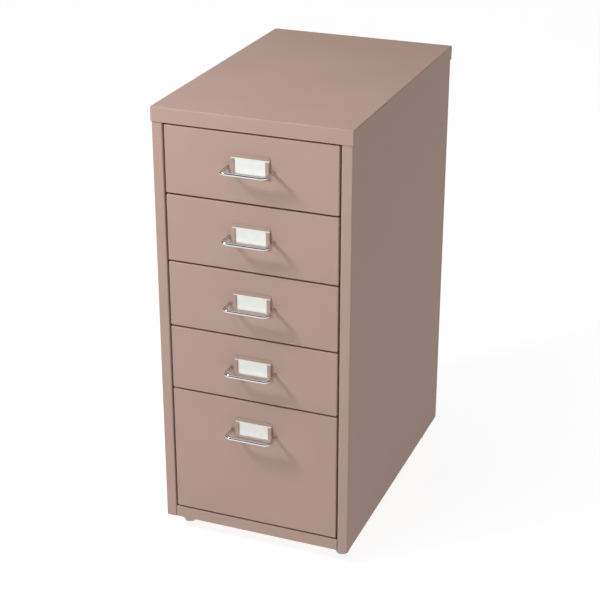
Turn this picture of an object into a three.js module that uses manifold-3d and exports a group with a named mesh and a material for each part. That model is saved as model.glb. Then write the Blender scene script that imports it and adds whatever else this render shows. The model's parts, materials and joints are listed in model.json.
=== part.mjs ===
// Small steel filing cabinet: a folded sheet-steel carcass on four plastic feet, with four
// shallow drawers and one deep drawer that slide in channel runners.
// Millimetres. +Z is up and the drawer fronts face -Y. The origin is on the floor, in the
// middle of the bounding box, which includes the wire pulls.
import * as THREE from 'three';
import { mergeVertices } from 'three/addons/utils/BufferGeometryUtils.js';
import Module from 'manifold-3d';

const wasm = await Module();
wasm.setup();

// ---- driving dimensions -------------------------------------------------------------------

const WIDTH = 280;                // over the top cap
const DEPTH = 430;                // over the top cap
const BODY_HEIGHT = 616;          // from the bottom edge of the side panels to the top
const FOOT_HEIGHT = 24;           // floor to the bottom edge of the side panels
const SHEET = 0.8;                // steel thickness
const BEND = 1.2;                 // bend radius at the middle of the sheet
const FIT = 0.3;                  // gap between pieces that touch on the real cabinet

const DRAWER_GAP = 2.4;           // visible gap round each drawer front
const DRAWER_PITCH = 96;          // height of one shallow drawer and its gap
const DRAWER_MODULES = [1, 1, 1, 1, 2];   // drawer heights from the top down, in pitches
const CAP_FLANGE = 20.3;          // height of the cap's folded edge
const UPRIGHT = 16.3;             // visible width of each front upright, from the cap's side
const FOLD = 12;                  // width of the plain inner folds

const FRONT_THICKNESS = 14;       // depth of a drawer front's folded edges
const TRAY_HALF_WIDTH = 112;      // middle to the outer face of a tray's side wall
const TRAY_LENGTH = 378.6;
const TRAY_BELOW_TOP = 13.6;      // tray rim below the top edge of its front
const TRAY_ABOVE_BOTTOM = 6;      // tray floor above the bottom edge of its front
const LIP_REACH = 9.8;            // rim of the tray, out from the side wall
const LIP_DROP = 9;               // its turned-down edge
const LIP_HEADROOM = 2.6;         // free height above the rim, inside the runner
const LIP_CLEARANCE = 0.4;        // free height below the turned-down edge
const TRAVEL = 280;               // how far a drawer opens

const PULL_WIRE = 5;              // wire diameter
const PULL_SPACING = 64;          // between the centres of the two legs
const PULL_REACH = 27;            // from the cap's front to the outside of the wire
const PULL_BEND = 8;              // bend radius at the middle of the wire
const PULL_BELOW_TOP = 46.8;      // below the top edge of the drawer front
const PULL_TAIL = 8;              // threaded end behind the drawer front's face
const NUT_THICKNESS = 4;
const NUT_CORNER = 4.62;          // middle to a corner of the hexagon
const ACCESS_RADIUS = 7;          // holes in a tray's front wall, behind the nuts

const HOLDER_WIDTH = 55;
const HOLDER_HEIGHT = 29;
const HOLDER_BELOW_TOP = 27.5;    // below the top edge of the drawer front
const HOLDER_SHEET = 0.6;
const HOLDER_SLOT = 1.2;          // free depth between the back plate and the lips
const HOLDER_LIP = 6;             // width of the side lips that hold the card
const HOLDER_BOTTOM_LIP = 3.5;
const LIPS_BELOW_HOLDER_TOP = 5.7;
const CARD_SHEET = 0.4;
const CARD_BELOW_HOLDER_TOP = 4.2;

const FOOT_INSET_X = 21;          // from the cap's side to the foot's middle
const FOOT_INSET_Y = 37;          // from the cap's front or back to the foot's middle
const FOOT_RADIUS = 8.5;          // flat underside
const FOOT_TOP_RADIUS = 12;
const SCREW_RADIUS = 2;
const SCREW_LENGTH = 15;

// ---- places that follow from them ---------------------------------------------------------

const HALF_WIDTH = WIDTH / 2;
const CAP_FRONT = (PULL_REACH - DEPTH) / 2;
const CAP_BACK = CAP_FRONT + DEPTH;
const TOP = FOOT_HEIGHT + BODY_HEIGHT;
const CAP_BOTTOM = TOP - CAP_FLANGE;
const SIDE_OUTER = HALF_WIDTH - SHEET - FIT;
const FACE = CAP_FRONT + SHEET + FIT;             // front face of uprights, rail and drawers
const UPRIGHT_INNER = HALF_WIDTH - UPRIGHT;
const DRAWER_HALF_WIDTH = UPRIGHT_INNER - DRAWER_GAP;
const FIRST_DRAWER_TOP = CAP_BOTTOM - DRAWER_GAP;
const PITCHES = DRAWER_MODULES.reduce((sum, modules) => sum + modules);
const RAIL_TOP = FIRST_DRAWER_TOP - PITCHES * DRAWER_PITCH;
const BACK_PANEL_FACE = CAP_BACK - 2.1;           // recessed behind the cap's rear flange
const SIDE_REAR = BACK_PANEL_FACE - SHEET - FIT;
const TRAY_FRONT = FACE + FRONT_THICKNESS + FIT;
const TRAY_REAR = TRAY_FRONT + TRAY_LENGTH;
const PULL_WIRE_FRONT = CAP_FRONT - PULL_REACH + PULL_WIRE / 2;
const STOP_CLEARANCE = 0.5;                       // between a stop and what meets it
const TAB_THICKNESS = 2;
const TAB_WIDTH = 5;
const TAB_FROM_WALL = 2.2;                        // from a tray's side wall to its stop tab
const TAB_RISE = 1.8;                             // height of a stop tab above the rim
const TAB_REAR = TRAY_REAR - 2;
const RUNNER_INNER = TRAY_HALF_WIDTH + 1.2;       // free edges of the channel
const RUNNER_SETBACK = 3;                         // runner behind the front of the tray
const EDGE_GAP = 0.5;                             // wider gap where sheets stand side by side
const HOLE_GAP = 0.4;                             // round a wire or screw in its hole
const INSET = 0.2;                                // walls and tabs stand in from a cut end
const PAST = 1;                                   // how far a cutting tool runs past a face

const material = {
  paint: { color: 0xb3998b, roughness: 0.55, metalness: 0.0 },
  chrome: { color: 0xdadde0, roughness: 0.08, metalness: 1.0 },
  steel: { color: 0xb2b4b6, roughness: 0.35, metalness: 1.0 },
  card: { color: 0xe9eae5, roughness: 0.9, metalness: 0.0 },
  grey_plastic: { color: 0xb7bbb8, roughness: 0.5, metalness: 0.0 },
};

// ---- geometry helpers ---------------------------------------------------------------------

// A box between two values on each axis, in either order.
function box([x0, x1], [y0, y1], [z0, z1]) {
  const geometry = new THREE.BoxGeometry(Math.abs(x1 - x0), Math.abs(y1 - y0), Math.abs(z1 - z0));
  return geometry.translate((x0 + x1) / 2, (y0 + y1) / 2, (z0 + z1) / 2);
}

// Extrudes a flat outline along an axis. The outline is in (x, y) for axis z, in (x, z) for
// axis y and in (y, z) for axis x.
function extrude(outline, axis, from, to, holes = []) {
  const shape = new THREE.Shape(outline);
  shape.holes = holes.map((points) => new THREE.Path(points));
  const geometry = new THREE.ExtrudeGeometry(shape, { depth: to - from, bevelEnabled: false });
  if (axis === 'z') {
    return geometry.translate(0, 0, from);
  }
  if (axis === 'y') {
    return geometry.rotateX(Math.PI / 2).translate(0, to, 0);
  }
  const turned = new THREE.Matrix4().makeBasis(
    new THREE.Vector3(0, 1, 0),
    new THREE.Vector3(0, 0, 1),
    new THREE.Vector3(1, 0, 0),
  );
  return geometry.applyMatrix4(turned).translate(from, 0, 0);
}

// The points of a regular polygon that stands for a circle.
function ring(x, y, radius, sides) {
  const points = [];
  for (let i = 0; i < sides; i += 1) {
    const angle = (2 * Math.PI * i) / sides;
    points.push(new THREE.Vector2(x + radius * Math.cos(angle), y + radius * Math.sin(angle)));
  }
  return points;
}

// The closed outline of bent sheet. The corners are on the middle of the sheet.
function foldedOutline(corners, sheet = SHEET, bend = BEND, stepsPerBend = 3) {
  const middle = corners.map(([x, y]) => new THREE.Vector2(x, y));
  const left = [];
  const right = [];
  const put = (point, direction) => {
    const normal = new THREE.Vector2(-direction.y, direction.x).multiplyScalar(sheet / 2);
    left.push(point.clone().add(normal));
    right.unshift(point.clone().sub(normal));
  };
  const directionTo = (i) => middle[i + 1].clone().sub(middle[i]).normalize();
  put(middle[0], directionTo(0));
  for (let i = 1; i < middle.length - 1; i += 1) {
    const before = directionTo(i - 1);
    const after = directionTo(i);
    const turn = Math.atan2(before.cross(after), before.dot(after));
    const start = middle[i].clone().addScaledVector(before, -bend * Math.tan(Math.abs(turn) / 2));
    const side = Math.sign(turn);
    const centre = start.clone().add(new THREE.Vector2(-before.y, before.x).multiplyScalar(side * bend));
    for (let step = 0; step <= stepsPerBend; step += 1) {
      const angle = (turn * step) / stepsPerBend;
      const direction = before.clone().rotateAround(new THREE.Vector2(), angle);
      put(start.clone().rotateAround(centre, angle), direction);
    }
  }
  const last = middle.length - 1;
  put(middle[last], directionTo(last - 1));
  return [...left, ...right];
}

function toSolid(geometry) {
  const bare = geometry.clone();
  bare.deleteAttribute('normal');
  bare.deleteAttribute('uv');
  const merged = mergeVertices(bare, 1e-4);
  const mesh = new wasm.Mesh({
    numProp: 3,
    vertProperties: new Float32Array(merged.attributes.position.array),
    triVerts: new Uint32Array(merged.index.array),
  });
  return new wasm.Manifold(mesh);
}

function toGeometry(solid) {
  const mesh = solid.getMesh();
  const geometry = new THREE.BufferGeometry();
  geometry.setAttribute('position', new THREE.BufferAttribute(mesh.vertProperties, 3));
  geometry.setIndex(new THREE.BufferAttribute(mesh.triVerts, 1));
  geometry.computeVertexNormals();
  return geometry;
}

const joinAll = (pieces) => toGeometry(pieces.map(toSolid).reduce((sum, piece) => sum.add(piece)));
const cutAll = (base, tools) => toGeometry(
  tools.map(toSolid).reduce((rest, tool) => rest.subtract(tool), toSolid(base)),
);

// A round piece: the profile holds [radius, height] pairs from the bottom axis point upwards.
function turned(profile, sides) {
  const points = profile.map(([radius, height]) => new THREE.Vector2(radius, height));
  return new THREE.LatheGeometry(points, sides).rotateX(Math.PI / 2);
}

const cabinet = new THREE.Group();

function addPiece(name, geometry, look, group = cabinet) {
  const mesh = new THREE.Mesh(geometry, new THREE.MeshStandardMaterial(material[look]));
  mesh.name = name;
  group.add(mesh);
}

// ---- carcass ------------------------------------------------------------------------------

function topCap() {
  const outer = box([-HALF_WIDTH, HALF_WIDTH], [CAP_FRONT, CAP_BACK], [CAP_BOTTOM, TOP]);
  const inside = box(
    [-HALF_WIDTH + SHEET, HALF_WIDTH - SHEET],
    [CAP_FRONT + SHEET, CAP_BACK - SHEET],
    [CAP_BOTTOM - PAST, TOP - SHEET],
  );
  const pan = cutAll(outer, [inside]);
  const lipHalf = UPRIGHT_INNER - EDGE_GAP;
  const frontLip = box([-lipHalf, lipHalf], [CAP_FRONT, CAP_FRONT + FOLD], [CAP_BOTTOM, CAP_BOTTOM + SHEET]);
  return joinAll([pan, frontLip]);
}

// Wall with a front upright, its return, a rear fold and a bottom fold. side is -1 or 1.
function sidePanel(side) {
  const half = SHEET / 2;
  const wall = SIDE_OUTER - half;
  const outline = foldedOutline([
    [side * (SIDE_OUTER - FOLD), SIDE_REAR - half],
    [side * wall, SIDE_REAR - half],
    [side * wall, FACE + half],
    [side * (UPRIGHT_INNER + half), FACE + half],
    [side * (UPRIGHT_INNER + half), FACE + FOLD],
  ]);
  const wallAndFolds = extrude(outline, 'z', FOOT_HEIGHT, TOP - SHEET - FIT);
  const bottomFold = box(
    [side * (SIDE_OUTER - FOLD), side * wall],
    [FACE + FOLD + 4, SIDE_REAR - 4],
    [FOOT_HEIGHT, FOOT_HEIGHT + SHEET],
  );
  return joinAll([wallAndFolds, bottomFold]);
}

function backPanel() {
  const halfWidth = SIDE_OUTER - EDGE_GAP;
  const heights = [FOOT_HEIGHT + EDGE_GAP, TOP - SHEET - FIT];
  return box([-halfWidth, halfWidth], [BACK_PANEL_FACE - SHEET, BACK_PANEL_FACE], heights);
}

// Places of the feet: [name, x, y].
const feet = [];
for (const [row, y] of [['front', CAP_FRONT + FOOT_INSET_Y], ['rear', CAP_BACK - FOOT_INSET_Y]]) {
  for (const [hand, side] of [['left', -1], ['right', 1]]) {
    feet.push([`${row}_${hand}`, side * (HALF_WIDTH - FOOT_INSET_X), y]);
  }
}

const FLOOR_BOTTOM = FOOT_HEIGHT + SHEET + FIT;
const FLOOR_TOP = FLOOR_BOTTOM + SHEET;

// Plate with notches round the uprights' returns and holes for the foot screws.
function bottomPanel() {
  const wide = SIDE_OUTER - SHEET - FIT;
  const narrow = UPRIGHT_INNER - EDGE_GAP;
  const front = FACE + SHEET + FIT;
  const notchEnd = FACE + FOLD + 1;
  const rear = SIDE_REAR - SHEET - FIT;
  const outline = [
    [-narrow, front], [narrow, front], [narrow, notchEnd], [wide, notchEnd],
    [wide, rear], [-wide, rear], [-wide, notchEnd], [-narrow, notchEnd],
  ].map(([x, y]) => new THREE.Vector2(x, y));
  const holes = feet.map(([, x, y]) => ring(x, y, SCREW_RADIUS + HOLE_GAP, 12));
  return extrude(outline, 'z', FLOOR_BOTTOM, FLOOR_TOP, holes);
}

function bottomFrontRail() {
  const half = SHEET / 2;
  const outline = foldedOutline([
    [FACE + FOLD, FOOT_HEIGHT + half],
    [FACE + half, FOOT_HEIGHT + half],
    [FACE + half, RAIL_TOP - half],
    [FACE + FOLD, RAIL_TOP - half],
  ]);
  const halfWidth = UPRIGHT_INNER - EDGE_GAP;
  return extrude(outline, 'x', -halfWidth, halfWidth);
}

// Tapered foot with a blind hole for its screw.
function foot(x, y) {
  const top = FOOT_HEIGHT - FIT;
  const hole = SCREW_RADIUS + HOLE_GAP;
  const profile = [
    [0, 0], [FOOT_RADIUS, 0], [9.4, 1.2], [10.2, top - 3], [FOOT_TOP_RADIUS, top - 2.4],
    [FOOT_TOP_RADIUS, top], [hole, top], [hole, top - SCREW_LENGTH], [0, top - SCREW_LENGTH],
  ];
  return turned(profile, 20).translate(x, y, 0);
}

// Pan-head screw, down through the bottom panel into the foot.
function footScrew(x, y) {
  const seat = FLOOR_TOP + FIT;
  const profile = [
    [0, seat - SCREW_LENGTH], [1.2, seat - SCREW_LENGTH], [SCREW_RADIUS, seat - SCREW_LENGTH + 1.4],
    [SCREW_RADIUS, seat],
    [4, seat], [4, seat + 1.1], [2.9, seat + 2.2], [0, seat + 2.4],
  ];
  return turned(profile, 12).translate(x, y, 0);
}

// ---- drawers and runners ------------------------------------------------------------------

// Channel runner that opens inwards round the tray's lip. Its rear tab stops the drawer when
// it closes, and the tab under its upper flange stops it when it opens.
function runner(rimHeight, side) {
  const half = SHEET / 2;
  const lower = rimHeight - LIP_DROP - LIP_CLEARANCE - SHEET;
  const upper = rimHeight + LIP_HEADROOM + SHEET;
  const web = SIDE_OUTER - SHEET - FIT;
  const front = TRAY_FRONT + RUNNER_SETBACK;
  const rear = TRAY_REAR + STOP_CLEARANCE + SHEET + INSET;
  const outline = foldedOutline([
    [side * RUNNER_INNER, upper - half],
    [side * (web - half), upper - half],
    [side * (web - half), lower + half],
    [side * RUNNER_INNER, lower + half],
  ]);
  const channel = extrude(outline, 'y', front, rear);
  const rearTab = box(
    [side * (RUNNER_INNER + INSET), side * (web - half)],
    [rear - INSET - SHEET, rear - INSET],
    [lower + half, upper - half],
  );
  const openStopRear = TAB_REAR - TAB_THICKNESS - TRAVEL - STOP_CLEARANCE;
  const openStop = box(
    [side * (RUNNER_INNER + 1), side * (RUNNER_INNER + 1 + TAB_WIDTH)],
    [openStopRear - TAB_THICKNESS, openStopRear],
    [rimHeight + STOP_CLEARANCE, upper - half],
  );
  return joinAll([channel, rearTab, openStop]);
}

// One sheet folded into floor, walls and turned-down lips, with its end walls. The front wall
// has two holes that give access to the pull's nuts.
function tray(bottom, rim, pullHeight) {
  const half = SHEET / 2;
  const wall = TRAY_HALF_WIDTH - half;
  const lip = TRAY_HALF_WIDTH + LIP_REACH - half;
  const rightHalf = [
    [wall, bottom + half],
    [wall, rim - half],
    [lip, rim - half],
    [lip, rim - LIP_DROP],
  ];
  const leftHalf = rightHalf.map(([x, z]) => [-x, z]).reverse();
  const trough = extrude(foldedOutline([...leftHalf, ...rightHalf]), 'y', TRAY_FRONT, TRAY_REAR);
  const endWall = (y) => box([-wall, wall], [y, y + SHEET], [bottom + half, rim - SHEET - INSET]);
  const access = (x) => extrude(
    ring(x, pullHeight, ACCESS_RADIUS, 16),
    'y',
    TRAY_FRONT - PAST,
    TRAY_FRONT + SHEET + PAST,
  );
  const legX = PULL_SPACING / 2;
  const frontWall = cutAll(endWall(TRAY_FRONT + INSET), [access(-legX), access(legX)]);
  const rearWall = endWall(TRAY_REAR - SHEET - INSET);
  const stopTabs = [-1, 1].map((side) => box(
    [side * (TRAY_HALF_WIDTH + TAB_FROM_WALL), side * (TRAY_HALF_WIDTH + TAB_FROM_WALL + TAB_WIDTH)],
    [TAB_REAR - TAB_THICKNESS, TAB_REAR],
    [rim - half, rim + TAB_RISE],
  ));
  return joinAll([trough, frontWall, rearWall, ...stopTabs]);
}

// Shallow pan, open at the back, with two holes for the pull.
function drawerFront(bottom, top, pullHeight) {
  const half = DRAWER_HALF_WIDTH;
  const outer = box([-half, half], [FACE, FACE + FRONT_THICKNESS], [bottom, top]);
  const inside = box(
    [-half + SHEET, half - SHEET],
    [FACE + SHEET, FACE + FRONT_THICKNESS + PAST],
    [bottom + SHEET, top - SHEET],
  );
  const holes = [-1, 1].map((side) => extrude(
    ring((side * PULL_SPACING) / 2, pullHeight, PULL_WIRE / 2 + HOLE_GAP, 16),
    'y',
    FACE - PAST,
    FACE + SHEET + PAST,
  ));
  return cutAll(outer, [inside, ...holes]);
}

// One wire: two legs through the drawer front and a bar across, with round bends.
function pull(height) {
  const legX = PULL_SPACING / 2;
  const tail = FACE + PULL_TAIL;
  const at = (x, y) => new THREE.Vector3(x, y, height);
  const bendEnd = PULL_WIRE_FRONT + PULL_BEND;
  const bend = (x) => {
    const side = Math.sign(x);
    return new THREE.QuadraticBezierCurve3(
      side < 0 ? at(x, bendEnd) : at(x - PULL_BEND, PULL_WIRE_FRONT),
      at(x, PULL_WIRE_FRONT),
      side < 0 ? at(x + PULL_BEND, PULL_WIRE_FRONT) : at(x, bendEnd),
    );
  };
  const path = new THREE.CurvePath();
  path.add(new THREE.LineCurve3(at(-legX, tail), at(-legX, bendEnd)));
  path.add(bend(-legX));
  path.add(new THREE.LineCurve3(
    at(-legX + PULL_BEND, PULL_WIRE_FRONT),
    at(legX - PULL_BEND, PULL_WIRE_FRONT),
  ));
  path.add(bend(legX));
  path.add(new THREE.LineCurve3(at(legX, bendEnd), at(legX, tail)));
  const section = new THREE.Shape(ring(0, 0, PULL_WIRE / 2, 8));
  return new THREE.ExtrudeGeometry(section, { steps: 40, extrudePath: path, bevelEnabled: false });
}

function pullNut(x, height) {
  const seat = FACE + SHEET + FIT;
  const hole = ring(x, height, PULL_WIRE / 2 + HOLE_GAP, 12);
  return extrude(ring(x, height, NUT_CORNER, 6), 'y', seat, seat + NUT_THICKNESS, [hole]);
}

// Back plate with lips on both sides and below, open at the top so that a card slides in.
function labelHolder(top) {
  const half = HOLDER_WIDTH / 2;
  const bottom = top - HOLDER_HEIGHT;
  const back = FACE - FIT;
  const front = back - 2 * HOLDER_SHEET - HOLDER_SLOT;
  const lipTop = top - LIPS_BELOW_HOLDER_TOP;
  const plate = box([-half, half], [back - HOLDER_SHEET, back], [bottom, top]);
  const side = (sign) => [
    box([sign * half, sign * (half - HOLDER_SHEET)], [front, back], [bottom, lipTop]),
    box([sign * half, sign * (half - HOLDER_LIP)], [front, front + HOLDER_SHEET], [bottom, lipTop]),
  ];
  const floor = [
    box([-half, half], [front, back], [bottom, bottom + HOLDER_SHEET]),
    box([-half, half], [front, front + HOLDER_SHEET], [bottom, bottom + HOLDER_BOTTOM_LIP]),
  ];
  return joinAll([plate, ...side(-1), ...side(1), ...floor]);
}

function labelCard(holderTop) {
  const half = HOLDER_WIDTH / 2 - HOLDER_SHEET - FIT;
  const back = FACE - FIT - HOLDER_SHEET - FIT;
  const bottom = holderTop - HOLDER_HEIGHT + HOLDER_SHEET + FIT;
  return box([-half, half], [back - CARD_SHEET, back], [bottom, holderTop - CARD_BELOW_HOLDER_TOP]);
}

function addDrawer(number, top, bottom) {
  const name = `drawer_${number}`;
  const drawer = new THREE.Group();
  const pullHeight = top - PULL_BELOW_TOP;
  const rim = top - TRAY_BELOW_TOP;
  const holderTop = top - HOLDER_BELOW_TOP;
  addPiece(`${name}_front`, drawerFront(bottom, top, pullHeight), 'paint', drawer);
  addPiece(`${name}_tray`, tray(bottom + TRAY_ABOVE_BOTTOM, rim, pullHeight), 'paint', drawer);
  addPiece(`${name}_pull`, pull(pullHeight), 'chrome', drawer);
  addPiece(`${name}_pull_nut_left`, pullNut(-PULL_SPACING / 2, pullHeight), 'steel', drawer);
  addPiece(`${name}_pull_nut_right`, pullNut(PULL_SPACING / 2, pullHeight), 'steel', drawer);
  addPiece(`${name}_label_holder`, labelHolder(holderTop), 'paint', drawer);
  addPiece(`${name}_label_card`, labelCard(holderTop), 'card', drawer);
  cabinet.add(drawer);
  addPiece(`runner_${number}_left`, runner(rim, -1), 'paint');
  addPiece(`runner_${number}_right`, runner(rim, 1), 'paint');
}

// ---- assembly -----------------------------------------------------------------------------

addPiece('top_cap', topCap(), 'paint');
addPiece('left_side_panel', sidePanel(-1), 'paint');
addPiece('right_side_panel', sidePanel(1), 'paint');
addPiece('back_panel', backPanel(), 'paint');
addPiece('bottom_panel', bottomPanel(), 'paint');
addPiece('bottom_front_rail', bottomFrontRail(), 'paint');
for (const [place, x, y] of feet) {
  addPiece(`foot_${place}`, foot(x, y), 'grey_plastic');
  addPiece(`foot_screw_${place}`, footScrew(x, y), 'steel');
}

let drawerTop = FIRST_DRAWER_TOP;
DRAWER_MODULES.forEach((modules, index) => {
  const drawerBottom = drawerTop - modules * DRAWER_PITCH + DRAWER_GAP;
  addDrawer(index + 1, drawerTop, drawerBottom);
  drawerTop = drawerBottom - DRAWER_GAP;
});

export default cabinet;
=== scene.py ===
"""Looks of a small steel filing cabinet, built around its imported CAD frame.

Lengths of pieces are in millimetres up to the point where a vertex is made, where MM turns them
into metres. The camera and the lights are placed in metres. +Z is up and the drawer fronts face
-Y. Each section below makes one kind of piece.
"""

import json
import math

import bmesh
import bpy
from mathutils import Matrix, Vector

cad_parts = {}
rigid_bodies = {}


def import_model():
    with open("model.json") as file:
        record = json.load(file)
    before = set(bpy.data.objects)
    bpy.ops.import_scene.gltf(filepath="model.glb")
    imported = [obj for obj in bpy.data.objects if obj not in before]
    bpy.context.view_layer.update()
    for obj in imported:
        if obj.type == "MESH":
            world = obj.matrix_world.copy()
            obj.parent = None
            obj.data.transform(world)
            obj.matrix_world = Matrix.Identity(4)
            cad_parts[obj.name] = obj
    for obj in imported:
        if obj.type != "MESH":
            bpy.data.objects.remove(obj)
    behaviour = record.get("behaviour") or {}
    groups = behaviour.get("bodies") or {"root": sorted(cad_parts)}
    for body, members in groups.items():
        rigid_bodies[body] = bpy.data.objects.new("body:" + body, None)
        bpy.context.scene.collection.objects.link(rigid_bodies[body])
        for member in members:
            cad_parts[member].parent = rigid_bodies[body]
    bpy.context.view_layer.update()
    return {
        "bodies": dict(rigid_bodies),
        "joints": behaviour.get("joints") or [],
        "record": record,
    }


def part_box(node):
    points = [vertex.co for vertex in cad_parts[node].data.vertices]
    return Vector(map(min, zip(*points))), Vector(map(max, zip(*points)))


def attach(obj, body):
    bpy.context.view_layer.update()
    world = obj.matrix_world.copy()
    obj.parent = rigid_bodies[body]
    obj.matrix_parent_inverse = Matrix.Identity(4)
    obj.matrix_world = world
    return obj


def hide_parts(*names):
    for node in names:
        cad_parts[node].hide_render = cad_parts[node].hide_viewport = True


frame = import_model()

MM = 0.001
RIGHT_ANGLE = math.pi / 2

# ---- sizes that repeat across pieces ------------------------------------------------------

SHEET = 0.8
BEND = 1.3                  # bend radius at the middle of the sheet
BEND_STEPS = 8
SMALLEST_CORNER = 0.15      # radius left where a corner is inset as far as it goes
PAN_EDGE = 1.5              # outer radius of a pan's folded edges
PAN_CORNER = 1.7            # outer radius of its corners
CUT_EDGE = 0.18             # softening of cut sheet edges
FOLD = 12                   # width of the plain folds of the carcass
HAIR = 0.02                 # gap that keeps two faces from lying in one plane
SHARP_ANGLE = 35.0          # edges that turn by more degrees stay sharp in shading
CUT_OVERRUN = 1             # how far a cutting tool runs past a sheet

# ---- frame measures -----------------------------------------------------------------------

record = frame["record"]
body_of_node = {
    node: body for body, nodes in record["behaviour"]["bodies"].items() for node in nodes
}
slot_of_node = {part["node"]: part["material_slot"] for part in record["subparts"]}


def box_mm(node):
    """(low, high) corners of a CAD node, in millimetres."""
    low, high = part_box(node)
    return low / MM, high / MM


# ---- materials ----------------------------------------------------------------------------


def new_material(name):
    material = bpy.data.materials.new(name)
    material.use_nodes = True
    nodes = material.node_tree.nodes
    return material, nodes, material.node_tree.links, nodes["Principled BSDF"]


def add_node(nodes, kind, **inputs):
    """A shader node with some of its input sockets set by name."""
    node = nodes.new(kind)
    for name, value in inputs.items():
        node.inputs[name.replace("_", " ")].default_value = value
    return node


def noise(nodes, links, place, scale, detail=3.0, roughness=0.5):
    node = add_node(nodes, "ShaderNodeTexNoise", Scale=scale, Detail=detail, Roughness=roughness)
    links.new(place, node.inputs["Vector"])
    return node.outputs["Fac"]


def spread(nodes, links, value, low, high, from_low=0.3, from_high=0.7):
    """Maps a texture value to a range."""
    node = nodes.new("ShaderNodeMapRange")
    node.inputs["From Min"].default_value = from_low
    node.inputs["From Max"].default_value = from_high
    node.inputs["To Min"].default_value = low
    node.inputs["To Max"].default_value = high
    links.new(value, node.inputs["Value"])
    return node.outputs["Result"]


def blend_colours(nodes, links, factor, first, second):
    node = nodes.new("ShaderNodeMix")
    node.data_type = "RGBA"
    for socket, value in (("A", first), ("B", second)):
        target = [s for s in node.inputs if s.name == socket and s.type == "RGBA"][0]
        if hasattr(value, "links"):
            links.new(value, target)
        else:
            target.default_value = (*value, 1.0)
    links.new(factor, node.inputs[0])
    return [s for s in node.outputs if s.type == "RGBA"][0]


def bump(nodes, links, height, distance, strength, below=None):
    node = add_node(nodes, "ShaderNodeBump", Strength=strength, Distance=distance)
    links.new(height, node.inputs["Height"])
    if below is not None:
        links.new(below, node.inputs["Normal"])
    return node.outputs["Normal"]


def edge_mask(nodes, links, radius):
    """1 near sharp edges and 0 on flats."""
    rounded = add_node(nodes, "ShaderNodeBevel", Radius=radius)
    rounded.samples = 4
    geometry = nodes.new("ShaderNodeNewGeometry")
    dot = nodes.new("ShaderNodeVectorMath")
    dot.operation = "DOT_PRODUCT"
    links.new(rounded.outputs["Normal"], dot.inputs[0])
    links.new(geometry.outputs["Normal"], dot.inputs[1])
    return spread(nodes, links, dot.outputs["Value"], 1.0, 0.0, from_low=0.80, from_high=0.995)


def object_place(nodes):
    return nodes.new("ShaderNodeTexCoord").outputs["Object"]


PAINT = (0.432, 0.305, 0.261)
# Lighter colour for a painted highlight along the edges and bends of the sheet.
PAINT_EDGE_HIGHLIGHT = (0.500, 0.372, 0.316)


def powder_coat():
    """Satin powder coat: fine orange peel, a faint cloudiness, and a painted highlight along the
    edges.
    """
    material, nodes, links, shader = new_material("powder_coat")
    place = object_place(nodes)
    cloud = noise(nodes, links, place, 9.0, detail=4.0)
    grain = noise(nodes, links, place, 2600.0, detail=2.0)
    peel = noise(nodes, links, place, 620.0, detail=2.0, roughness=0.4)
    darker = tuple(c * 0.975 for c in PAINT)
    lighter = tuple(c * 1.02 for c in PAINT)
    base = blend_colours(nodes, links, spread(nodes, links, cloud, 0.0, 1.0), darker, lighter)
    speckle = tuple(c * 0.94 for c in PAINT)
    speckle_amount = spread(nodes, links, grain, 0.35, 0.0, 0.25, 0.45)
    base = blend_colours(nodes, links, speckle_amount, base, speckle)
    # Painted highlight: edges and bends are painted lighter, as if they caught the light.
    edges = edge_mask(nodes, links, radius=0.0009)
    edge_highlight_amount = spread(nodes, links, edges, 0.0, 0.45, 0.0, 1.0)
    base = blend_colours(nodes, links, edge_highlight_amount, base, PAINT_EDGE_HIGHLIGHT)
    links.new(base, shader.inputs["Base Color"])
    links.new(spread(nodes, links, cloud, 0.44, 0.52), shader.inputs["Roughness"])
    shader.inputs["Specular IOR Level"].default_value = 0.03
    shader.inputs["Specular Tint"].default_value = (1.0, 0.62, 0.55, 1.0)
    ripple = bump(nodes, links, peel, 0.00004, 0.30)
    links.new(bump(nodes, links, grain, 0.000008, 0.25, ripple), shader.inputs["Normal"])
    return material


def chrome():
    """Polished chrome wire with faint draw marks."""
    material, nodes, links, shader = new_material("chrome")
    place = object_place(nodes)
    haze = noise(nodes, links, place, 160.0, detail=5.0)
    fine = noise(nodes, links, place, 2400.0, detail=2.0)
    shader.inputs["Metallic"].default_value = 1.0
    amount = spread(nodes, links, haze, 0, 1)
    tint = blend_colours(nodes, links, amount, (0.64, 0.65, 0.67), (0.71, 0.72, 0.74))
    links.new(tint, shader.inputs["Base Color"])
    links.new(spread(nodes, links, haze, 0.05, 0.11), shader.inputs["Roughness"])
    links.new(bump(nodes, links, fine, 0.000006, 0.25), shader.inputs["Normal"])
    return material


def zinc_plate():
    """Zinc-plated steel for nuts and screws."""
    material, nodes, links, shader = new_material("zinc_plate")
    place = object_place(nodes)
    spangle = noise(nodes, links, place, 420.0, detail=4.0)
    scratch = noise(nodes, links, place, 3000.0, detail=2.0)
    shader.inputs["Metallic"].default_value = 1.0
    amount = spread(nodes, links, spangle, 0, 1)
    tint = blend_colours(nodes, links, amount, (0.52, 0.54, 0.55), (0.66, 0.67, 0.66))
    links.new(tint, shader.inputs["Base Color"])
    links.new(spread(nodes, links, spangle, 0.26, 0.42), shader.inputs["Roughness"])
    links.new(bump(nodes, links, scratch, 0.00001, 0.35), shader.inputs["Normal"])
    return material


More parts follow.
